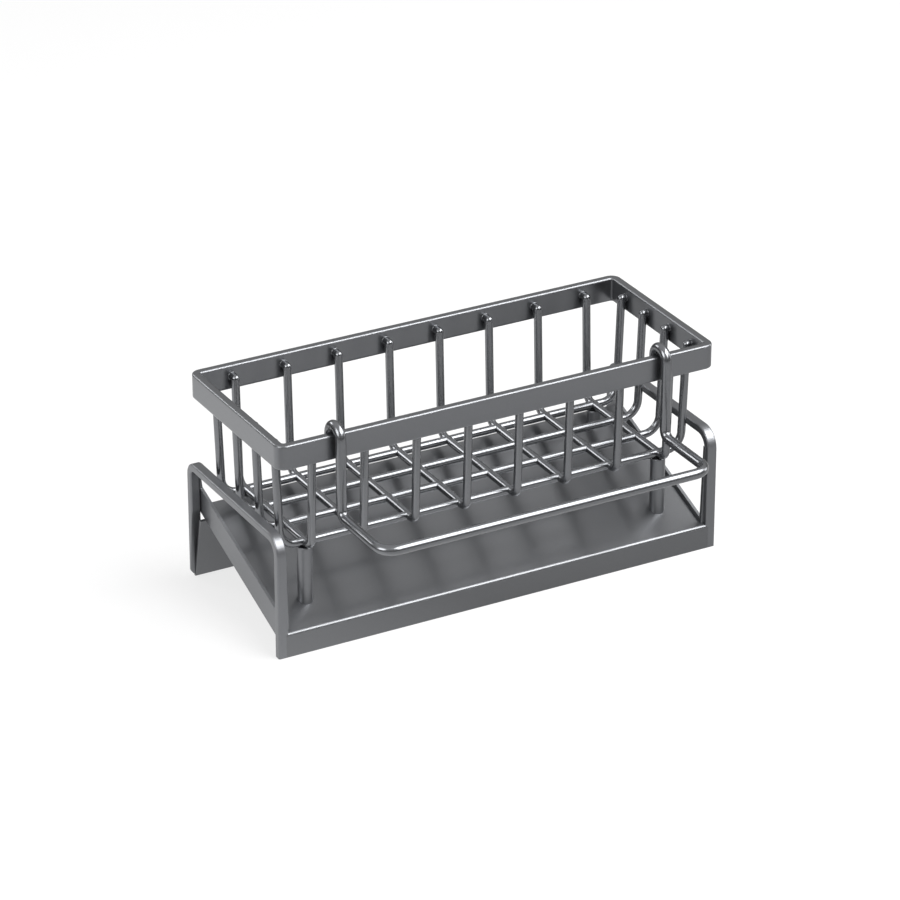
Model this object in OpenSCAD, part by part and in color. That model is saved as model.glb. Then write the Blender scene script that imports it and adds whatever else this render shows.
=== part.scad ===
// Sink-side sponge holder: a wire basket that lifts off a drip stand, and a cloth rail hooked on its rim.
// Origin: centre of the holder's outline seen from above, cloth rail included, on the worktop.
// X runs along the length, the front faces -Y and Z points up.

/* [Basket rim] */
// Length of the rim, outside
rim_l = 230; // [200:0.5:232]
// Depth of the rim, outside
rim_w = 92.4; // [88:0.1:96]
// Height of the rim's top edge above the worktop
rim_top_z = 107; // [95:1:140]
// Height of the rim band
band_h = 12.2; // [10:0.1:16]
// Thickness of the rim band
band_t = 4; // [3:0.1:4.2]
// Outside radius of the rim's corners
rim_corner_r = 5; // [4.2:0.1:14]
// Rounding of the band's long edges
band_edge_r = 0.8; // [0.4:0.1:1.4]

/* [Basket wires] */
// Diameter of the basket wires
wire_d = 4; // [3:0.1:4.1]
// Height of the wires' centreline at the basket's floor
floor_z = 48; // [44:0.5:52]
// Play round a floor wire where another one is let into it, each for half its thickness
crossing_gap = 0.05; // [0.03:0.01:0.1]
// Number of cross wires
cross_count = 8; // [5:1:8]
// Spacing of the cross wires
cross_pitch = 27; // [22:0.5:27.5]
// Number of lengthwise wires
long_count = 4; // [3:1:4]
// Spacing of the lengthwise wires
long_pitch = 20; // [15:0.5:20]
// Depth below the rim's top edge at which the wires are welded to the band
weld_drop = 5.5; // [5:0.1:7]
// Distance from the band's inner face to the centreline of the cross wires' uprights, at their top
cross_stub = 3.4; // [2.1:0.1:5]
// Distance from the band's inner face to the centreline of the lengthwise wires' uprights, at their top
long_stub = 2.1; // [2.1:0.1:6]
// Lean of the uprights towards the middle of the basket, in degrees
upright_lean = 2; // [0:0.1:3]
// Bend radius at the foot of the cross wires, to the centreline
cross_bend_r = 4.5; // [3:0.1:8]
// Bend radius at the foot of the lengthwise wires, to the centreline
long_bend_r = 8.5; // [5:0.1:12]

/* [Dish cloth rail] */
// Diameter of the rail wire
rail_d = 5; // [4:0.1:5.2]
// Distance between the two hooks, centre to centre
rail_l = 171.2; // [150:0.2:174]
// Distance from the rim's front face to the rail bar's centreline
rail_reach = 44.2; // [25:0.1:60]
// Height of the rail bar's centreline above the worktop
rail_z = 67; // [64:0.5:80]
// Radius of the hook's arch, to the centreline
hook_r = 5.4; // [5.3:0.05:6]
// Gap between the rim's front face and the rail's upright
hook_front_gap = 1.4; // [1.2:0.1:1.6]
// Length of the hook's short leg behind the rim
hook_leg = 8; // [4:0.5:12]
// Bend radius at the foot of the rail's uprights, to the centreline
rail_foot_r = 4.5; // [3:0.5:10]
// Radius of the rail's two front corners, to the centreline
rail_corner_r = 8; // [6:0.5:20]
// Running gap between the hook and the band's top
hook_rest_gap = 0.3; // [0.1:0.1:0.5]

/* [Stand frames] */
// Length of the stand, outside
base_l = 234; // [233:0.1:250]
// Depth of the stand, outside
base_w = 94; // [92:0.5:110]
// Height of the end frames
frame_h = 61.4; // [56:0.1:64]
// Width of the frame bar, along the stand's length
bar_w = 5; // [4:0.1:6]
// Thickness of the frame bar
bar_t = 4; // [3:0.1:5]
// Outside radius of each frame's front top corner
front_corner_r = 10; // [6:0.5:14]
// Outside radius of each frame's rear top corner
rear_corner_r = 7; // [6:0.5:14]
// Rounding of the frame bar's long edges
bar_edge_r = 0.8; // [0.3:0.1:1.2]
// Radius of the outer corner at each rear foot
foot_corner_r = 5; // [2:0.5:5]
// Step from the back panel to the thinned face of a rear leg, at the worktop
rear_foot_step = 0.2; // [0.1:0.1:0.5]
// Height above which the rear legs have their full depth
rear_taper_h = 36; // [20:1:36]

/* [Drip tray] */
// Thickness of the tray sheet
sheet_t = 1.2; // [1:0.1:1.5]
// Height of the tray's front edge
tray_front_z = 12; // [8:0.5:16]
// Gap between the basket's floor and the top of the tray's rear fold
tray_gap = 3.8; // [0.5:0.1:7]
// Lean of the back panel from upright, in degrees
panel_lean = 12.7; // [6:0.1:14]
// Distance from the stand's back to the back panel's foot
panel_foot_gap = 0.5; // [0.3:0.1:0.8]
// Width of the back panel's edge that is let into each rear leg
panel_let_in = 2.75; // [1:0.05:3]
// Width of the apron's edge that is let into each front leg
apron_let_in = 1.2; // [1.2:0.1:2]
// Outside radius of the tray's folds
fold_r = 1.4; // [1.3:0.1:4]

/* [Side plates] */
// Thickness of the side plates
plate_t = 1.5; // [1:0.1:1.8]
// Height that a side plate stands above the tray
plate_rise = 2; // [1:0.1:6]
// Depth of a side plate below the tray at the front
plate_drop_front = 10.3; // [6:0.1:10.6]
// Depth of a side plate below the tray at the back
plate_drop_back = 9.5; // [5:0.1:12]
// Height of the plates' tongues on the front legs
front_tongue_z = 53; // [35:1:54]
// Height of the plates' tongues on the rear legs
rear_tongue_z = 54; // [50:1:54]
// Width of the tongues, along the leg's depth
tongue_w = 1.8; // [1:0.1:2.4]
// Thickness of the tongues at their top end
tongue_tip_t = 0.3; // [0.2:0.1:0.8]

/* [Posts] */
// Diameter of the four posts
post_d = 7.2; // [6.5:0.1:9]
// Rounding of the posts' top edge
post_edge_r = 0.6; // [0.3:0.1:1.5]
// Gap between the basket's floor and the posts' tops
post_gap = 0.3; // [0.1:0.1:0.5]

/* [Hidden] */
$fn = 48;
SIDES = ["left", "right"];
paint = "#6d6f72";
over = 1;
join_l = 0.05;
bend_inset = 0.03;

// Basket
band_in_x = rim_l / 2 - band_t;
band_in_y = rim_w / 2 - band_t;
weld_z = rim_top_z - weld_drop;
floor_low_z = floor_z - wire_d / 2;
cross_x = [for (i = [0:cross_count - 1]) (i - (cross_count - 1) / 2) * cross_pitch];
long_y = [for (i = [0:long_count - 1]) (i - (long_count - 1) / 2) * long_pitch];

// Stand
leg_in_x = base_l / 2 - bar_w;
leg_in_y = base_w / 2 - bar_t;
plate_in_x = leg_in_x - plate_t;
bend_r = fold_r - sheet_t / 2;
apron_y = -base_w / 2 + sheet_t / 2;
panel_foot_y = base_w / 2 - panel_foot_gap - sheet_t / 2 / cos(panel_lean);
tray_back_z = floor_low_z - tray_gap;
tray_front = [apron_y, tray_front_z - sheet_t / 2];
tray_back = [panel_foot_y - (tray_back_z - sheet_t / 2) * tan(panel_lean), tray_back_z - sheet_t / 2];
tray_slope = (tray_back[1] - tray_front[1]) / (tray_back[0] - tray_front[0]);
tray_angle = atan(tray_slope);
tray_top_offset = sheet_t / 2 / cos(tray_angle);

// Height of the tray's top surface at a given distance from the middle
function tray_top(y) = tray_front[1] + tray_slope * (y - tray_front[0]) + tray_top_offset;

// Middle of the depth, from the rail bar's front to the stand's back, measured from the stand's middle
centre_y = (base_w - rim_w) / 4 - (rail_reach + rail_d / 2) / 2;

// Plane geometry: directions, turns and the straight run left between two bends
function unit(v) = v / norm(v);
function cross_2d(a, b) = a[0] * b[1] - a[1] * b[0];
function heading(v) = atan2(v[1], v[0]);
function turn(a, b, c) = atan2(cross_2d(unit(b - a), unit(c - b)), unit(b - a) * unit(c - b));
function setback(a, b, c, r) = r * tan(abs(turn(a, b, c)) / 2);

// Flat rectangle with rounded corners, centred
module rounded_rect(w, h, r) {
    square([w - 2 * r, h], center = true);
    square([w, h - 2 * r], center = true);
    for (sx = [-1, 1], sy = [-1, 1])
        translate([sx * (w / 2 - r), sy * (h / 2 - r)])
            circle(r = r, $fn = 24);
}

// Hands the section the depth by which it is drawn inside its full size
module inset(depth) {
    $inset = depth;
    children();
}

// Bar that starts at the origin along +X; each leg is a straight run, then a turn with its radius.
// With a join, the straight runs enter the bends by that length, and $inset makes the bends a hair thinner.
module follow(legs, join = 0, i = 0) {
    run = legs[i][0];
    angle = legs[i][1];
    r = legs[i][2];
    side = angle < 0 ? -1 : 1;
    before = i == 0 ? 0 : join;
    after = angle == 0 ? 0 : join;
    if (run > 0)
        translate([-before, 0, 0])
            rotate([90, 0, 90])
                linear_extrude(run + before + after)
                    inset(0)
                        children();
    if (angle != 0)
        translate([run, side * r, 0]) {
            rotate([0, 0, side < 0 ? 90 + angle : -90])
                rotate_extrude(angle = abs(angle))
                    translate([r, 0])
                        inset(join > 0 ? bend_inset : 0)
                            children();
            rotate([0, 0, angle])
                translate([0, -side * r, 0])
                    follow(legs, join, i + 1)
                        children();
        }
}

// Bar bent in its XY plane along the points, with a radius for each inner point; the child is its section
module bent_bar(points, radii, join = 0) {
    last = len(points) - 1;
    backs = [for (i = [0:last]) i == 0 || i == last ? 0 :
        setback(points[i - 1], points[i], points[i + 1], radii[i - 1])];
    legs = [for (i = [0:last - 1]) [
        norm(points[i + 1] - points[i]) - backs[i] - backs[i + 1],
        i == last - 1 ? 0 : turn(points[i], points[i + 1], points[i + 2]),
        i == last - 1 ? 0 : radii[i]
    ]];
    translate([points[0][0], points[0][1], 0])
        rotate([0, 0, heading(points[1] - points[0])])
            follow(legs, join)
                children();
}

// Turns the XY plane of a bent bar into the XZ plane or the YZ plane
module in_xz() {
    rotate([90, 0, 0])
        children();
}

module in_yz() {
    rotate([90, 0, 90])
        children();
}

module on_side(side) {
    if (side == "left")
        mirror([1, 0, 0])
            children();
    else
        children();
}

// Basket wire: level floor, then on each side a foot bend, an upright and a tight corner to a stub on the band
module basket_wire(weld_at, stub, foot_r) {
    top = weld_at - stub;
    foot = top - (weld_z - floor_z) * tan(upright_lean);
    for (m = [0, 1])
        mirror([m, 0, 0]) {
            bent_bar([[0, floor_z], [foot, floor_z], [top, weld_z]], [foot_r], join_l)
                circle(d = wire_d - 2 * $inset);
            translate([top, weld_z, 0]) {
                sphere(d = wire_d - bend_inset);
                rotate([0, 90, 0])
                    cylinder(h = stub, d = wire_d - 2 * bend_inset);
            }
        }
}

module rim_band() {
    run_x = rim_l / 2 - rim_corner_r;
    run_y = rim_w / 2 - rim_corner_r;
    mid_r = rim_corner_r - band_t / 2;
    loop = [
        [2 * run_x, 90, mid_r],
        [2 * run_y, 90, mid_r],
        [2 * run_x, 90, mid_r],
        [2 * run_y, 90, mid_r],
        [0, 0, 0]
    ];
    color(paint)
        translate([-run_x, -rim_w / 2 + band_t / 2, rim_top_z - band_h / 2])
            follow(loop)
                rounded_rect(band_t, band_h, band_edge_r);
}

// Upper or lower half of a floor wire's run along X, with play, to be cut from a wire that crosses it
module crossing_half(low_z) {
    intersection() {
        rotate([0, 90, 0])
            cylinder(h = 2 * wire_d, d = wire_d + 2 * crossing_gap, center = true);
        translate([-wire_d - over, -wire_d, low_z])
            cube([2 * (wire_d + over), 2 * wire_d, wire_d]);
    }
}

// Cross wire, notched from below where the lengthwise wires pass
module cross_wire(x) {
    color(paint)
        difference() {
            translate([x, 0, 0])
                in_yz()
                    basket_wire(band_in_y, cross_stub, cross_bend_r);
            for (y = long_y)
                translate([x, y, floor_z])
                    crossing_half(-wire_d);
        }
}

// Lengthwise wire, notched from above where the cross wires pass
module lengthwise_wire(y) {
    color(paint)
        difference() {
            translate([0, y, 0])
                in_xz()
                    basket_wire(band_in_x, long_stub, long_bend_r);
            for (x = cross_x)
                translate([x, y, floor_z])
                    rotate([0, 0, 90])
                        crossing_half(0);
        }
}

// Hook, upright and foot bend of the rail in the YZ plane, then its arms and bar in a level plane
module towel_rail() {
    front_y = -rim_w / 2 - hook_front_gap - rail_d / 2;
    back_y = front_y + 2 * hook_r;
    arch_y = front_y + hook_r;
    inner_r = hook_r - rail_d / 2;
    edge_y = -rim_w / 2 + band_t - band_edge_r;
    edge_rise = sqrt(pow(inner_r - band_edge_r, 2) - pow(edge_y - arch_y, 2));
    arch_z = rim_top_z - band_edge_r - edge_rise + hook_rest_gap;
    bar_y = -rim_w / 2 - rail_reach;
    arm_y = front_y - rail_foot_r;
    hook = [
        [hook_leg, 180, hook_r],
        [arch_z - rail_z - rail_foot_r, -90, rail_foot_r],
        [0, 0, 0]
    ];
    color(paint) {
        for (s = [-1, 1])
            translate([s * rail_l / 2, 0, 0])
                in_yz()
                    translate([back_y, arch_z - hook_leg, 0])
                        rotate([0, 0, 90])
                            follow(hook)
                                circle(d = rail_d);
        translate([0, 0, rail_z])
            bent_bar(
                [[-rail_l / 2, arm_y], [-rail_l / 2, bar_y], [rail_l / 2, bar_y], [rail_l / 2, arm_y]],
                [rail_corner_r, rail_corner_r]
            )
                circle(d = rail_d);
    }
}

// Space below the worktop, to trim a sheet that reaches it at a slant
module below_worktop() {
    translate([-base_l / 2, 0, -2 * over])
        cube([base_l, base_w, 2 * over]);
}

// Folded sheet: apron, sloping floor and back panel, as wide as the panel's edges that the legs take in
module tray_sheet() {
    foot = [panel_foot_y + over * tan(panel_lean), -over];
    difference() {
        in_yz()
            bent_bar([[apron_y, 0], tray_front, tray_back, foot], [bend_r, bend_r], join_l)
                square([sheet_t - 2 * $inset, 2 * (leg_in_x + panel_let_in)], center = true);
        below_worktop();
    }
}

// Space beside the apron, to trim it to the narrower edge that a front leg takes in
module beside_apron(side) {
    on_side(side)
        translate([leg_in_x + apron_let_in, -base_w / 2 - over, -over])
            cube([panel_let_in, base_w / 2, frame_h]);
}

// Flat outline of a side plate in the YZ plane; the top and bottom edges follow the tray
module plate_outline() {
    front = -leg_in_y - tongue_w;
    back = leg_in_y + tongue_w;
    polygon([
        [front, tray_top(front) - plate_drop_front - sheet_t],
        [back, tray_top(back) - plate_drop_back - sheet_t],
        [back, tray_top(back) + plate_rise],
        [front, tray_top(front) + plate_rise]
    ]);
}

// Solid that cuts the tray sheet where a side plate passes
module plate_space(side) {
    on_side(side)
        translate([plate_in_x, 0, 0])
            in_yz()
                linear_extrude(plate_t + bar_w)
                    plate_outline();
}

// Tongue on a leg's inner face: thin at its top end and as thick as the plate where it meets the plate
module tongue(y, low_z, high_z) {
    translate([0, y + tongue_w, 0])
        rotate([90, 0, 0])
            linear_extrude(tongue_w)
                polygon([
                    [plate_in_x, low_z],
                    [leg_in_x, low_z],
                    [leg_in_x, high_z],
                    [leg_in_x - tongue_tip_t, high_z]
                ]);
}

module side_plate(side) {
    front = -leg_in_y - tongue_w;
    color(paint)
        on_side(side) {
            translate([plate_in_x, 0, 0])
                in_yz()
                    linear_extrude(plate_t)
                        plate_outline();
            tongue(front, tray_top(front), front_tongue_z);
            tongue(leg_in_y, tray_top(leg_in_y), rear_tongue_z);
        }
}

module tray_body() {
    difference() {
        tray_sheet();
        for (side = SIDES) {
            plate_space(side);
            beside_apron(side);
        }
    }
}

module drip_tray() {
    color(paint)
        tray_body();
}

// Inverted U of flat bar, notched for the tray's edges; the rear leg thins towards its foot
module end_frame(side) {
    mid_x = base_l / 2 - bar_w / 2;
    leg_y = (base_w - bar_t) / 2;
    radii = [front_corner_r - bar_t / 2, rear_corner_r - bar_t / 2];
    top = frame_h - bar_t / 2;
    thin_y = panel_foot_y - sheet_t / 2 / cos(panel_lean) + rear_foot_step;
    corners = [[-leg_y, 0], [-leg_y, top], [leg_y, top], [leg_y, 0]];
    color(paint)
        difference() {
            on_side(side)
                difference() {
                    translate([mid_x, 0, 0])
                        in_yz()
                            bent_bar(corners, radii)
                                rounded_rect(bar_t, bar_w, bar_edge_r);
                    translate([leg_in_x - over, 0, 0])
                        in_yz()
                            linear_extrude(bar_w + 2 * over)
                                polygon([
                                    [leg_in_y - over, -over],
                                    [thin_y + over * (thin_y - leg_in_y) / rear_taper_h, -over],
                                    [leg_in_y, rear_taper_h],
                                    [leg_in_y - over, rear_taper_h]
                                ]);
                    translate([base_l / 2 - foot_corner_r, leg_in_y - over, foot_corner_r])
                        rotate([-90, 0, 0])
                            difference() {
                                cube([foot_corner_r + over, foot_corner_r + over, bar_t + 2 * over]);
                                cylinder(h = bar_t + 2 * over, r = foot_corner_r);
                            }
                }
            tray_body();
        }
}

// Post on the sloping tray, under a corner crossing of the basket's floor
module post(x, y) {
    low_z = tray_top(y) - post_d;
    high_z = floor_low_z - post_gap;
    flat_r = post_d / 2 - post_edge_r;
    color(paint)
        difference() {
            translate([x, y, 0])
                rotate_extrude() {
                    translate([0, low_z])
                        square([flat_r, high_z - low_z]);
                    translate([0, low_z])
                        square([post_d / 2, high_z - post_edge_r - low_z]);
                    intersection() {
                        translate([flat_r, high_z - post_edge_r])
                            circle(r = post_edge_r);
                        translate([flat_r, high_z - post_edge_r])
                            square(post_edge_r);
                    }
                }
            translate([x, y, tray_top(y)])
                rotate([tray_angle, 0, 0])
                    translate([-post_d, -post_d, -2 * post_d])
                        cube([2 * post_d, 2 * post_d, 2 * post_d]);
        }
}

post_x = cross_x[cross_count - 1];
post_y = long_y[long_count - 1];

translate([0, -centre_y, 0]) {
    rim_band();
    for (i = [1:cross_count])
        cross_wire(cross_x[i - 1]);
    for (i = [1:long_count])
        lengthwise_wire(long_y[i - 1]);
    towel_rail();
    end_frame("left");  // left_end_frame
    end_frame("right");  // right_end_frame
    drip_tray();
    side_plate("left");  // left_side_plate
    side_plate("right");  // right_side_plate
    post(-post_x, -post_y);  // front_left_post
    post(post_x, -post_y);  // front_right_post
    post(-post_x, post_y);  // back_left_post
    post(post_x, post_y);  // back_right_post
}
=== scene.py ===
"""Looks of the sink-side sponge holder: satin paint, weld beads, floor, lights and camera."""

import math

import bmesh
import bpy
from mathutils import Matrix, Vector


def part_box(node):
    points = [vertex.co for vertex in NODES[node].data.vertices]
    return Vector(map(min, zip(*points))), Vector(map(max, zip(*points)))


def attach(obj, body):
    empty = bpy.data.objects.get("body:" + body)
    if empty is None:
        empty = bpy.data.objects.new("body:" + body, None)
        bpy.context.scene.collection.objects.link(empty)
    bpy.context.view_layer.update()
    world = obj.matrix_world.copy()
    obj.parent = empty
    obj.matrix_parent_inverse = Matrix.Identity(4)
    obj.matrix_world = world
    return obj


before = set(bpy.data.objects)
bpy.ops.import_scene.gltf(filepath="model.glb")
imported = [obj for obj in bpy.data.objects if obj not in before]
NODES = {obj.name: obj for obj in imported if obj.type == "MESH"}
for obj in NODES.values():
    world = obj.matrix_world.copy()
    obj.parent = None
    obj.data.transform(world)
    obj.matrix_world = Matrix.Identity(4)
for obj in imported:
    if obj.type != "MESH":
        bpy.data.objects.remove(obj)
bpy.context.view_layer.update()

bl_info = {
    "name": "Sponge holder looks",
    "version": (1, 0, 0),
    "blender": (4, 5, 0),
    "location": "3D View > Sidebar > Sponge holder",
    "description": "Paints the holder, adds its weld beads and sets up the studio",
    "category": "Object",
}

BASKET_WIRES = [name for name in NODES if name.startswith(("cross_wire_", "lengthwise_wire_"))]
WIRE_LOW, WIRE_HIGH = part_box("cross_wire_1")
WIRE_R = (WIRE_HIGH[0] - WIRE_LOW[0]) / 2

# Paint: share of the cloudiness that also goes to the roughness
CLOUD_ROUGH_SHARE = 0.6
# Paint: height of the fine grit against the height of the orange peel
GRIT_SHARE = 0.12
# Edges: one minus the cosine between the rounded and the plain normal, where wear starts and where it is full
EDGE_TURN = (0.02, 0.22)
# Edges: wear at the lowest and at the highest noise, before it is cut to between 0 and 1
PATCH_WEAR = (-0.4, 1.5)
EDGE_SAMPLES = 6

# Weld beads: waves round the toe, each with its count, its height as a share of the bead, and its start
TOE_WAVES = ((3, 0.14, 1.3), (7, 0.08, 0.0))
# Weld beads: depth in the wire, as a share of the bead, and the steps round the ring and across the fillet
BEAD_SINK = 0.05
RING_STEPS = 28
FILLET_STEPS = 8

# Floor, just under the worktop level so that the feet don't share its plane
FLOOR_RADIUS = 6.0
FLOOR_SEGMENTS = 96
FLOOR_DROP = 0.0002
FLOOR_ROUGHNESS = 0.9
FLOOR_SPECULAR = 0.1
# Painted pools of light in the floor that the metal shows, and a painted shadow under the holder: brightness,
# the brightness round them, centre, and reach along X and Y
PAINTED_POOLS = (
    ("pool_front", "floor_dim", (0.0, -0.25), (0.35, 0.35)),
    ("pool_left", "floor_dim", (-0.22, 0.12), (0.26, 0.26)),
    ("pool_strip", "pool_front", (-0.08, -0.1), (0.2, 0.05)),
    # Painted shadow under the holder, as the metal shows the floor
    ("painted_shadow_under", "pool_front", (0.0, 0.05), (0.16, 0.078)),
)
# Shares of the reach between which a pool fades out
POOL_FADE = (0.6, 1.0)
# Upward part of a ray, from the horizon to where the studio's wall has its full brightness
WALL_RISE = (0.0, 0.8)

# Softboxes: name, place, width, height, and the setting with their power; all face the middle of the holder
SOFTBOXES = (
    ("left_softbox", (-1.35, -0.35, 0.85), 0.9, 0.9, "left_power"),
    ("top_softbox", (0.68, -0.66, 1.22), 1.7, 1.0, "top_power"),
    ("right_softbox", (1.5, -0.1, 0.35), 0.5, 0.5, "right_power"),
    ("back_softbox", (-0.75, 1.3, 0.75), 0.5, 0.5, "back_power"),
)
SOFTBOX_AIM = Vector((0, 0, 0.05))
SENSOR_WIDTH = 36
CAMERA_CLIP = (0.1, 20)


class PaintSettings(bpy.types.PropertyGroup):
    """Colours and finish of the satin paint"""
    colour: bpy.props.FloatVectorProperty(
        name="Paint", description="Colour of the satin paint", subtype="COLOR",
        size=3, min=0, max=1, default=(0.192, 0.197, 0.207))
    tray_colour: bpy.props.FloatVectorProperty(
        name="Tray paint", description="Colour of the paint on the folded sheet", subtype="COLOR",
        size=3, min=0, max=1, default=(0.160, 0.164, 0.171))
    edge_colour: bpy.props.FloatVectorProperty(
        name="Edge", description="Colour where the paint is thin along the edges", subtype="COLOR",
        size=3, min=0, max=1, default=(0.30, 0.305, 0.315))
    edge_wear: bpy.props.FloatProperty(
        name="Edge wear", description="Share of the edge colour where the paint is thinnest",
        subtype="FACTOR", min=0, max=1, default=0.45)
    metallic: bpy.props.FloatProperty(
        name="Metallic", description="Share of metal flake in the paint", subtype="FACTOR",
        min=0, max=1, default=0.97)
    wire_roughness: bpy.props.FloatProperty(
        name="Wire roughness", description="Roughness of the paint on the basket's wires and the cloth rail",
        subtype="FACTOR", min=0, max=1, default=0.22)
    band_roughness: bpy.props.FloatProperty(
        name="Rim roughness", description="Roughness of the paint on the rim band",
        subtype="FACTOR", min=0, max=1, default=0.3)
    stand_roughness: bpy.props.FloatProperty(
        name="Stand roughness", description="Roughness of the paint on the frames, plates and posts",
        subtype="FACTOR", min=0, max=1, default=0.4)
    tray_roughness: bpy.props.FloatProperty(
        name="Tray roughness", description="Roughness of the paint on the drip tray",
        subtype="FACTOR", min=0, max=1, default=0.32)
    coat: bpy.props.FloatProperty(
        name="Clear coat", description="Weight of the clear top coat", subtype="FACTOR",
        min=0, max=1, default=0.25)
    coat_roughness: bpy.props.FloatProperty(
        name="Clear coat roughness", description="Roughness of the clear top coat", subtype="FACTOR",
        min=0, max=1, default=0.12)
    flake: bpy.props.FloatProperty(
        name="Flake size", description="Size of the flakes in the paint",
        subtype="DISTANCE", unit="LENGTH", min=0.00005, max=0.005, default=0.00035)
    cloud: bpy.props.FloatProperty(
        name="Cloud size", description="Size of the slow changes of tone over a piece",
        subtype="DISTANCE", unit="LENGTH", min=0.001, max=0.5, default=0.045)
    peel: bpy.props.FloatProperty(
        name="Orange peel size", description="Length of the soft waves in the paint",
        subtype="DISTANCE", unit="LENGTH", min=0.0002, max=0.02, default=0.0022)
    peel_depth: bpy.props.FloatProperty(
        name="Orange peel depth", description="Depth of the soft waves in the paint",
        subtype="DISTANCE", unit="LENGTH", min=0, max=0.0005, default=0.000006)
    wire_edge_width: bpy.props.FloatProperty(
        name="Wire edge width", description="Width of the softly rounded line along the wires' edges",
        subtype="DISTANCE", unit="LENGTH", min=0.00005, max=0.003, default=0.0002)
    band_edge_width: bpy.props.FloatProperty(
        name="Rim edge width", description="Width of the softly rounded line along the rim's edges",
        subtype="DISTANCE", unit="LENGTH", min=0.00005, max=0.003, default=0.0011)
    stand_edge_width: bpy.props.FloatProperty(
        name="Stand edge width", description="Width of the softly rounded line along the stand's edges",
        subtype="DISTANCE", unit="LENGTH", min=0.00005, max=0.003, default=0.0003)
    tray_edge_width: bpy.props.FloatProperty(
        name="Tray edge width", description="Width of the softly rounded line along the tray's edges",
        subtype="DISTANCE", unit="LENGTH", min=0.00005, max=0.003, default=0.00045)


class WeldSettings(bpy.types.PropertyGroup):
    """Size of the weld beads"""
    rim_bead: bpy.props.FloatProperty(
        name="Rim bead", description="Radius of the bead where a wire meets the rim band",
        subtype="DISTANCE", unit="LENGTH", min=0.0001, max=0.002, default=0.0002)


class StageSettings(bpy.types.PropertyGroup):
    """Floor, studio light and camera"""
    floor_colour: bpy.props.FloatVectorProperty(
        name="Floor", description="Colour of the floor", subtype="COLOR",
        size=3, min=0, max=1, default=(0.86, 0.86, 0.86))
    floor_white: bpy.props.FloatProperty(
        name="Floor white", description="Share of plain white in the floor as the camera sees it",
        subtype="FACTOR", min=0, max=1, default=0.72)
    floor_gloss: bpy.props.FloatProperty(
        name="Floor in gloss", description="Share of plain light in the floor as the metal shows it",
        subtype="FACTOR", min=0, max=1, default=0.8)
    # Painted light in the floor, as the metal shows it: a dim level and painted pools of light round the
    # holder
    floor_dim: bpy.props.FloatProperty(
        name="Dim floor", description="Brightness of that light away from the pools",
        subtype="FACTOR", min=0, max=1, default=0.35)
    pool_front: bpy.props.FloatProperty(
        name="Front pool", description="Brightness of that light in front of the holder",
        subtype="FACTOR", min=0, max=1, default=0.55)
    pool_left: bpy.props.FloatProperty(
        name="Left pool", description="Brightness of that light to the back left of the holder",
        subtype="FACTOR", min=0, max=1, default=1)
    pool_strip: bpy.props.FloatProperty(
        name="Front strip", description="Brightness of that light along the front of the holder",
        subtype="FACTOR", min=0, max=1, default=0.72)
    # Painted shadow under the holder in the floor's light as the metal shows it, darker than the front pool
    painted_shadow_under: bpy.props.FloatProperty(
        name="Floor under the holder", description="Brightness of that light under the holder",
        subtype="FACTOR", min=0, max=1, default=0.25)
    wall_low: bpy.props.FloatProperty(
        name="Low wall", description="Brightness of the studio at the horizon, in gloss",
        min=0, max=2, default=0.12)
    wall_high: bpy.props.FloatProperty(
        name="High wall", description="Brightness of the studio overhead, in gloss",
        min=0, max=2, default=0.8)
    ambient: bpy.props.FloatProperty(
        name="Ambient", description="Strength of the soft light from all round", min=0, max=2, default=0.3)
    left_power: bpy.props.FloatProperty(
        name="Left softbox", description="Power of the softbox on the left", unit="POWER",
        min=0, max=500, default=12)
    top_power: bpy.props.FloatProperty(
        name="Top softbox", description="Power of the softbox above the front right", unit="POWER",
        min=0, max=500, default=40)
    right_power: bpy.props.FloatProperty(
        name="Right softbox", description="Power of the softbox on the right", unit="POWER",
        min=0, max=500, default=3)
    back_power: bpy.props.FloatProperty(
        name="Back softbox", description="Power of the softbox at the back left", unit="POWER",
        min=0, max=500, default=4)
    lens: bpy.props.FloatProperty(
        name="Lens", description="Focal length on a 36 mm sensor", subtype="DISTANCE_CAMERA",
        min=10, max=500, default=178.08)
    camera_place: bpy.props.FloatVectorProperty(
        name="Camera", description="Place of the camera", subtype="TRANSLATION", size=3,
        default=(-0.9077, -1.62355, 0.9898))
    azimuth: bpy.props.FloatProperty(
        name="Azimuth", description="Direction of the camera round the holder, from the front",
        subtype="ANGLE", unit="ROTATION", default=math.radians(-28.814))
    elevation: bpy.props.FloatProperty(
        name="Elevation", description="Height angle of the camera", subtype="ANGLE", unit="ROTATION",
        default=math.radians(26.344))


def new_group(name, inputs, outputs):
    """Empty shader group; each input is (name, type, default), and each output is (name, type)."""
    group = bpy.data.node_groups.new(name, "ShaderNodeTree")
    for label, kind, value in inputs:
        socket = group.interface.new_socket(name=label, in_out="INPUT", socket_type=kind)
        socket.default_value = value
    for label, kind in outputs:
        group.interface.new_socket(name=label, in_out="OUTPUT", socket_type=kind)
    return group, group.nodes.new("NodeGroupInput"), group.nodes.new("NodeGroupOutput")


def feed(tree, node, *values):
    """Fills a node's first inputs in order: a socket is linked, and any other value is set."""
    for socket, value in zip(node.inputs, values):
        if isinstance(value, bpy.types.NodeSocket):
            tree.links.new(value, socket)
        else:
            socket.default_value = value


def math_node(tree, operation, a, b):
    """Result of a sum on two sockets or numbers."""
    node = tree.nodes.new("ShaderNodeMath")
    node.operation = operation
    feed(tree, node, a, b)
    return node.outputs[0]


def vector_node(tree, operation, *values):
    """Vector sum; the node itself, because some sums put out a vector and some a number."""
    node = tree.nodes.new("ShaderNodeVectorMath")
    node.operation = operation
    feed(tree, node, *values)
    return node


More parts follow.
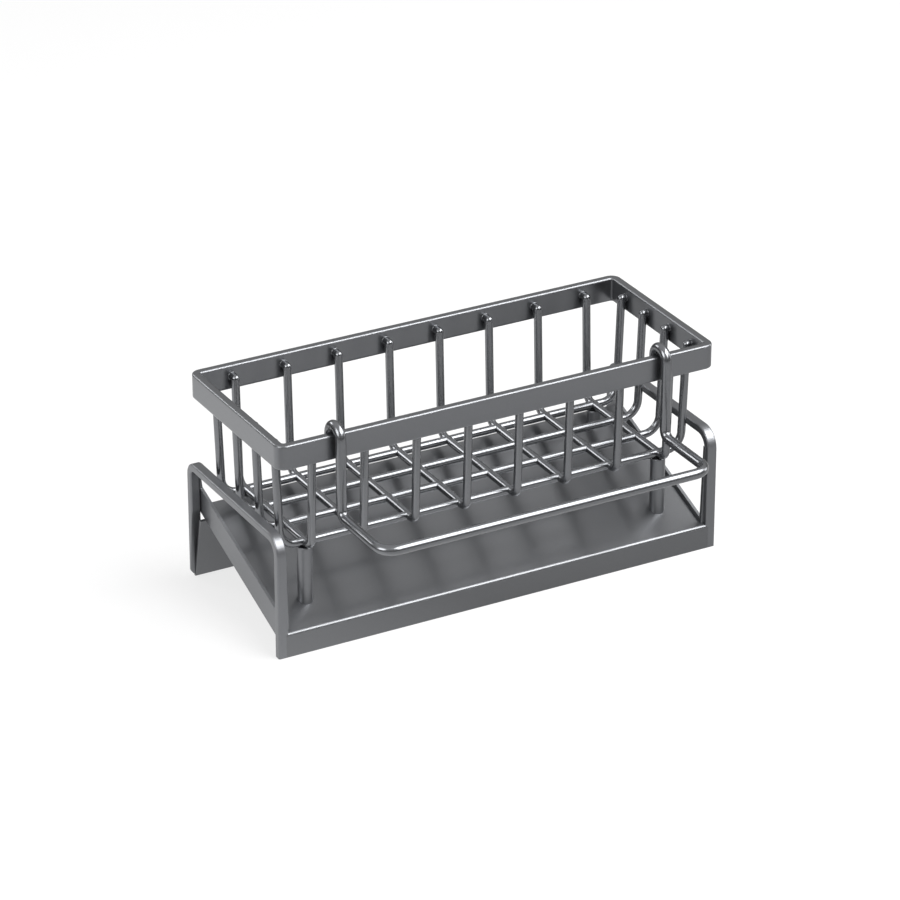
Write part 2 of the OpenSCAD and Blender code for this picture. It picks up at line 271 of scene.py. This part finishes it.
def remap(tree, value, low, high, span=(0.0, 1.0)):
    """Value moved from the span to the range from low to high, and kept inside it."""
    node = tree.nodes.new("ShaderNodeMapRange")
    tree.links.new(value, node.inputs["Value"])
    node.inputs["From Min"].default_value, node.inputs["From Max"].default_value = span
    node.inputs["To Min"].default_value = low
    node.inputs["To Max"].default_value = high
    return node.outputs["Result"]


def object_place(tree):
    """Coordinates of the piece itself, in metres."""
    return tree.nodes.new("ShaderNodeTexCoord").outputs["Object"]


def noise(tree, place, size, detail):
    """Noise from 0 to 1 with the given length of one wave, in metres."""
    node = tree.nodes.new("ShaderNodeTexNoise")
    node.inputs["Detail"].default_value = detail
    tree.links.new(place, node.inputs["Vector"])
    tree.links.new(math_node(tree, "DIVIDE", 1.0, size), node.inputs["Scale"])
    return node.outputs["Fac"]


def swing(tree, value, spread):
    """Noise from 0 to 1 as a swing to both sides of 0."""
    return math_node(tree, "MULTIPLY", math_node(tree, "SUBTRACT", value, 0.5), spread)


def flake_group():
    """Metal flake: a fine tone change and a slow cloudiness over the whole piece."""
    group, inward, outward = new_group(
        "Metal flake",
        [("Flake size", "NodeSocketFloat", 0.0004), ("Cloud size", "NodeSocketFloat", 0.05),
         ("Flake spread", "NodeSocketFloat", 0.12), ("Cloud spread", "NodeSocketFloat", 0.08)],
        [("Tone", "NodeSocketFloat"), ("Rough", "NodeSocketFloat")])
    place = object_place(group)
    fine = noise(group, place, inward.outputs["Flake size"], 1.0)
    slow = noise(group, place, inward.outputs["Cloud size"], 3.0)
    flakes = swing(group, fine, inward.outputs["Flake spread"])
    clouds = swing(group, slow, inward.outputs["Cloud spread"])
    tone = math_node(group, "ADD", math_node(group, "ADD", flakes, clouds), 1.0)
    group.links.new(tone, outward.inputs["Tone"])
    group.links.new(math_node(group, "MULTIPLY", clouds, CLOUD_ROUGH_SHARE), outward.inputs["Rough"])


def edge_group():
    """Edge wear: a broken line along the edges, and the normal of a softly rounded edge."""
    group, inward, outward = new_group(
        "Edge wear",
        [("Width", "NodeSocketFloat", 0.0004), ("Patch size", "NodeSocketFloat", 0.004)],
        [("Mask", "NodeSocketFloat"), ("Normal", "NodeSocketVector")])
    bevel = group.nodes.new("ShaderNodeBevel")
    bevel.samples = EDGE_SAMPLES
    group.links.new(inward.outputs["Width"], bevel.inputs["Radius"])
    rounded = bevel.outputs["Normal"]
    plain = group.nodes.new("ShaderNodeNewGeometry").outputs["Normal"]
    cosine = vector_node(group, "DOT_PRODUCT", rounded, plain).outputs["Value"]
    near = remap(group, math_node(group, "SUBTRACT", 1.0, cosine), 0.0, 1.0, EDGE_TURN)
    patches = remap(group, noise(group, object_place(group), inward.outputs["Patch size"], 3.0), *PATCH_WEAR)
    mask = math_node(group, "MULTIPLY", near, patches)
    mask.node.use_clamp = True
    group.links.new(mask, outward.inputs["Mask"])
    group.links.new(rounded, outward.inputs["Normal"])


def peel_group():
    """Orange peel: the height of the soft waves that sprayed and baked paint keeps."""
    group, inward, outward = new_group(
        "Orange peel",
        [("Wave size", "NodeSocketFloat", 0.002), ("Grit size", "NodeSocketFloat", 0.0003)],
        [("Height", "NodeSocketFloat")])
    place = object_place(group)
    waves = noise(group, place, inward.outputs["Wave size"], 1.0)
    grit = noise(group, place, inward.outputs["Grit size"], 0.0)
    height = math_node(group, "ADD", waves, math_node(group, "MULTIPLY", grit, GRIT_SHARE))
    group.links.new(height, outward.inputs["Height"])


def placed_group(tree, name, values):
    """Node of a shader group in a material, with the material's own values."""
    node = tree.nodes.new("ShaderNodeGroup")
    node.node_tree = bpy.data.node_groups[name]
    for label, value in values.items():
        node.inputs[label].default_value = value
    return node


def paint_material(part, colour, paint):
    """Satin paint with metal flake over steel, with the roughness and edge width set for that part."""
    roughness = getattr(paint, part + "_roughness")
    edge_width = getattr(paint, part + "_edge_width")
    material = bpy.data.materials.new(part + "_paint")
    material.use_nodes = True
    tree = material.node_tree
    shader = tree.nodes["Principled BSDF"]
    flake = placed_group(tree, "Metal flake", {"Flake size": paint.flake, "Cloud size": paint.cloud})
    wear = placed_group(tree, "Edge wear", {"Width": edge_width})
    peel = placed_group(tree, "Orange peel", {"Wave size": paint.peel})

    tone = vector_node(tree, "SCALE", colour)
    tree.links.new(flake.outputs["Tone"], tone.inputs["Scale"])
    mix = tree.nodes.new("ShaderNodeMix")
    mix.data_type = "RGBA"
    tree.links.new(math_node(tree, "MULTIPLY", wear.outputs["Mask"], paint.edge_wear), mix.inputs["Factor"])
    tree.links.new(tone.outputs["Vector"], mix.inputs["A"])
    mix.inputs["B"].default_value = (*paint.edge_colour, 1)
    tree.links.new(mix.outputs["Result"], shader.inputs["Base Color"])
    tree.links.new(math_node(tree, "ADD", flake.outputs["Rough"], roughness), shader.inputs["Roughness"])

    bump = tree.nodes.new("ShaderNodeBump")
    bump.inputs["Distance"].default_value = paint.peel_depth
    tree.links.new(peel.outputs["Height"], bump.inputs["Height"])
    tree.links.new(wear.outputs["Normal"], bump.inputs["Normal"])
    tree.links.new(bump.outputs["Normal"], shader.inputs["Normal"])
    shader.inputs["Metallic"].default_value = paint.metallic
    shader.inputs["Coat Weight"].default_value = paint.coat
    shader.inputs["Coat Roughness"].default_value = paint.coat_roughness
    return material


def dress(node, material):
    """Gives a CAD node its material."""
    piece = NODES[node]
    for slot in piece.material_slots:
        slot.material = material
    if not piece.material_slots:
        piece.data.materials.append(material)


def bead_ring(bm, centre, axis, radius, bead):
    """Fillet bead where a wire meets a face: a quarter-round ring with a slightly uneven toe."""
    turn = Vector(axis).to_track_quat("Z", "Y").to_matrix().to_4x4()
    place = Matrix.Translation(centre) @ turn
    rings = []
    for i in range(RING_STEPS):
        angle = 2 * math.pi * i / RING_STEPS
        waves = sum(height * math.sin(count * angle + start) for count, height, start in TOE_WAVES)
        reach = bead * (1 + waves)
        ring = []
        for j in range(FILLET_STEPS + 1):
            fillet = math.pi / 2 * j / FILLET_STEPS
            out = radius - BEAD_SINK * bead + reach * (1 - math.sin(fillet))
            up = reach * (1 - math.cos(fillet))
            ring.append(bm.verts.new(place @ Vector((out * math.cos(angle), out * math.sin(angle), up))))
        rings.append(ring)
    for i in range(RING_STEPS):
        a, b = rings[i], rings[(i + 1) % RING_STEPS]
        for j in range(FILLET_STEPS):
            bm.faces.new((a[j], b[j], b[j + 1], a[j + 1]))


def riding_piece(name, bm, body, material):
    """Makes a smooth piece from a bmesh, and lets it ride on a body."""
    mesh = bpy.data.meshes.new(name)
    bmesh.ops.recalc_face_normals(bm, faces=bm.faces)
    bm.to_mesh(mesh)
    bm.free()
    mesh.materials.append(material)
    for polygon in mesh.polygons:
        polygon.use_smooth = True
    piece = bpy.data.objects.new(name, mesh)
    bpy.context.collection.objects.link(piece)
    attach(piece, body)


def seen_share(tree, plain, in_gloss):
    """Plain share for rays from the camera and from glass, the other share for rays from gloss, else 0."""
    path = tree.nodes.new("ShaderNodeLightPath").outputs
    straight = math_node(tree, "MAXIMUM", path["Is Camera Ray"], path["Is Transmission Ray"])
    straight = math_node(tree, "MULTIPLY", straight, plain)
    return math_node(tree, "ADD", straight, math_node(tree, "MULTIPLY", path["Is Glossy Ray"], in_gloss))


def painted_pool(tree, centre, reach, level):
    """Painted soft oval patch on the floor, lighter where the level is above 0 and darker where it is below,
    with its reach along X and along Y; 0 past the reach.
    """
    away = vector_node(tree, "SUBTRACT", object_place(tree), (*centre, 0)).outputs["Vector"]
    share = vector_node(tree, "DIVIDE", away, (*reach, 1)).outputs["Vector"]
    distance = vector_node(tree, "LENGTH", share).outputs["Value"]
    return remap(tree, distance, level, 0.0, POOL_FADE)


def floor_paper(stage):
    """Pale floor that keeps the holder's shadow; in the metal it shows painted soft pools of light and a
    painted shadow under the holder.
    """
    material = bpy.data.materials.new("floor_paper")
    material.use_nodes = True
    tree = material.node_tree
    shader = tree.nodes["Principled BSDF"]
    shader.inputs["Base Color"].default_value = (*stage.floor_colour, 1)
    shader.inputs["Roughness"].default_value = FLOOR_ROUGHNESS
    shader.inputs["Specular IOR Level"].default_value = FLOOR_SPECULAR

    # Painted light in the floor for rays from gloss: a dim level, painted pools of light and a painted shadow
    # under the holder
    lit = stage.floor_dim
    for level, around, centre, reach in PAINTED_POOLS:
        rise = getattr(stage, level) - getattr(stage, around)
        lit = math_node(tree, "ADD", painted_pool(tree, centre, reach, rise), lit)
    lit.node.use_clamp = True
    in_gloss = tree.nodes.new("ShaderNodeLightPath").outputs["Is Glossy Ray"]
    missing = math_node(tree, "MULTIPLY", math_node(tree, "SUBTRACT", 1.0, lit), in_gloss)

    white = tree.nodes.new("ShaderNodeEmission")
    white.inputs["Color"].default_value = (1, 1, 1, 1)
    tree.links.new(math_node(tree, "SUBTRACT", 1.0, missing), white.inputs["Strength"])
    mix = tree.nodes.new("ShaderNodeMixShader")
    share = seen_share(tree, stage.floor_white, stage.floor_gloss)
    feed(tree, mix, share, shader.outputs["BSDF"], white.outputs["Emission"])
    tree.links.new(mix.outputs["Shader"], tree.nodes["Material Output"].inputs["Surface"])
    return material


def floor_sheet(stage):
    """Round floor under the holder."""
    bm = bmesh.new()
    bmesh.ops.create_circle(bm, cap_ends=True, cap_tris=False, segments=FLOOR_SEGMENTS, radius=FLOOR_RADIUS)
    mesh = bpy.data.meshes.new("floor")
    bm.to_mesh(mesh)
    bm.free()
    mesh.materials.append(floor_paper(stage))
    floor = bpy.data.objects.new("floor", mesh)
    bpy.context.collection.objects.link(floor)
    floor.location.z = -FLOOR_DROP


def backdrop_light(scene, stage):
    """White backdrop for the camera, soft light for the pieces, and in the metal a wall lit from above."""
    world = bpy.data.worlds.new("studio")
    scene.world = world
    world.use_nodes = True
    tree = world.node_tree
    light = tree.nodes["Background"]
    light.inputs["Color"].default_value = (1, 1, 1, 1)
    way = tree.nodes.new("ShaderNodeSeparateXYZ")
    tree.links.new(tree.nodes.new("ShaderNodeTexCoord").outputs["Generated"], way.inputs["Vector"])
    low = stage.wall_low - stage.ambient
    high = stage.wall_high - stage.ambient
    seen = seen_share(tree, 1.0 - stage.ambient, remap(tree, way.outputs["Z"], low, high, WALL_RISE))
    tree.links.new(math_node(tree, "ADD", seen, stage.ambient), light.inputs["Strength"])


def softbox(name, place, width, height, power):
    """Rectangular lamp that faces the holder."""
    light = bpy.data.lights.new(name, "AREA")
    light.shape = "RECTANGLE"
    light.size = width
    light.size_y = height
    light.energy = power
    box = bpy.data.objects.new(name, light)
    box.location = place
    box.rotation_euler = (SOFTBOX_AIM - Vector(place)).to_track_quat("-Z", "Y").to_euler()
    bpy.context.collection.objects.link(box)


def camera(scene, stage):
    """Camera at the stage's place and angles."""
    data = bpy.data.cameras.new("camera")
    data.lens = stage.lens
    data.sensor_width = SENSOR_WIDTH
    data.clip_start, data.clip_end = CAMERA_CLIP
    view = bpy.data.objects.new("camera", data)
    view.location = stage.camera_place
    level = math.cos(stage.elevation)
    away = (math.sin(stage.azimuth) * level, -math.cos(stage.azimuth) * level, math.sin(stage.elevation))
    view.rotation_mode = "QUATERNION"
    view.rotation_quaternion = (-Vector(away)).to_track_quat("-Z", "Y")
    bpy.context.collection.objects.link(view)
    scene.camera = view


class HOLDER_OT_paint(bpy.types.Operator):
    """Gives every solid of the holder its satin paint"""
    bl_idname = "holder.paint"
    bl_label = "Paint the holder"

    def execute(self, context):
        paint = context.scene.holder_paint
        flake_group()
        edge_group()
        peel_group()
        wire = paint_material("wire", paint.colour, paint)
        band = paint_material("band", paint.colour, paint)
        stand = paint_material("stand", paint.colour, paint)
        tray = paint_material("tray", paint.tray_colour, paint)
        finishes = {name: wire for name in (*BASKET_WIRES, "towel_rail")}
        finishes.update(rim_band=band, drip_tray=tray)
        for node in NODES:
            dress(node, finishes.get(node, stand))
        return {"FINISHED"}


class HOLDER_OT_rim_welds(bpy.types.Operator):
    """Adds a small bead where each basket wire meets the rim band"""
    bl_idname = "holder.rim_welds"
    bl_label = "Weld the wires to the rim"

    def execute(self, context):
        bead = context.scene.holder_welds.rim_bead
        bm = bmesh.new()
        for name in BASKET_WIRES:
            low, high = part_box(name)
            along = 1 if name.startswith("cross_wire_") else 0
            for inward, end in ((1, low[along]), (-1, high[along])):
                place = [(a + b) / 2 for a, b in zip(low, high)]
                place[along] = end
                place[2] = high[2] - WIRE_R
                axis = [0, 0, 0]
                axis[along] = inward
                bead_ring(bm, place, axis, WIRE_R, bead)
        riding_piece("rim_welds", bm, "basket", bpy.data.materials["wire_paint"])
        return {"FINISHED"}


class HOLDER_OT_stage(bpy.types.Operator):
    """Sets up the floor, the backdrop's light, the softboxes and the camera"""
    bl_idname = "holder.stage"
    bl_label = "Set the stage"

    def execute(self, context):
        stage = context.scene.holder_stage
        floor_sheet(stage)
        backdrop_light(context.scene, stage)
        for name, place, width, height, setting in SOFTBOXES:
            softbox(name, place, width, height, getattr(stage, setting))
        camera(context.scene, stage)
        context.scene.view_settings.view_transform = "Standard"
        return {"FINISHED"}


class HOLDER_PT_looks(bpy.types.Panel):
    """Lists the holder's settings and steps"""
    bl_idname = "HOLDER_PT_looks"
    bl_label = "Sponge holder"
    bl_space_type = "VIEW_3D"
    bl_region_type = "UI"
    bl_category = "Sponge holder"

    def draw(self, context):
        for name, (title, group) in SETTINGS.items():
            box = self.layout.box()
            box.label(text=title)
            for setting in group.__annotations__:
                box.prop(getattr(context.scene, name), setting)
        for step in STEPS:
            self.layout.operator(step.bl_idname)


SETTINGS = {
    "holder_paint": ("Paint", PaintSettings),
    "holder_welds": ("Welds", WeldSettings),
    "holder_stage": ("Stage", StageSettings),
}
STEPS = (HOLDER_OT_paint, HOLDER_OT_rim_welds, HOLDER_OT_stage)
CLASSES = (*(group for _, group in SETTINGS.values()), *STEPS, HOLDER_PT_looks)


def register():
    for cls in CLASSES:
        bpy.utils.register_class(cls)
    for name, (_, group) in SETTINGS.items():
        setattr(bpy.types.Scene, name, bpy.props.PointerProperty(type=group))


def unregister():
    for name in SETTINGS:
        delattr(bpy.types.Scene, name)
    for cls in reversed(CLASSES):
        bpy.utils.unregister_class(cls)


def main():
    register()
    bpy.ops.holder.paint()
    bpy.ops.holder.rim_welds()
    bpy.ops.holder.stage()


if __name__ == "__main__":
    main()
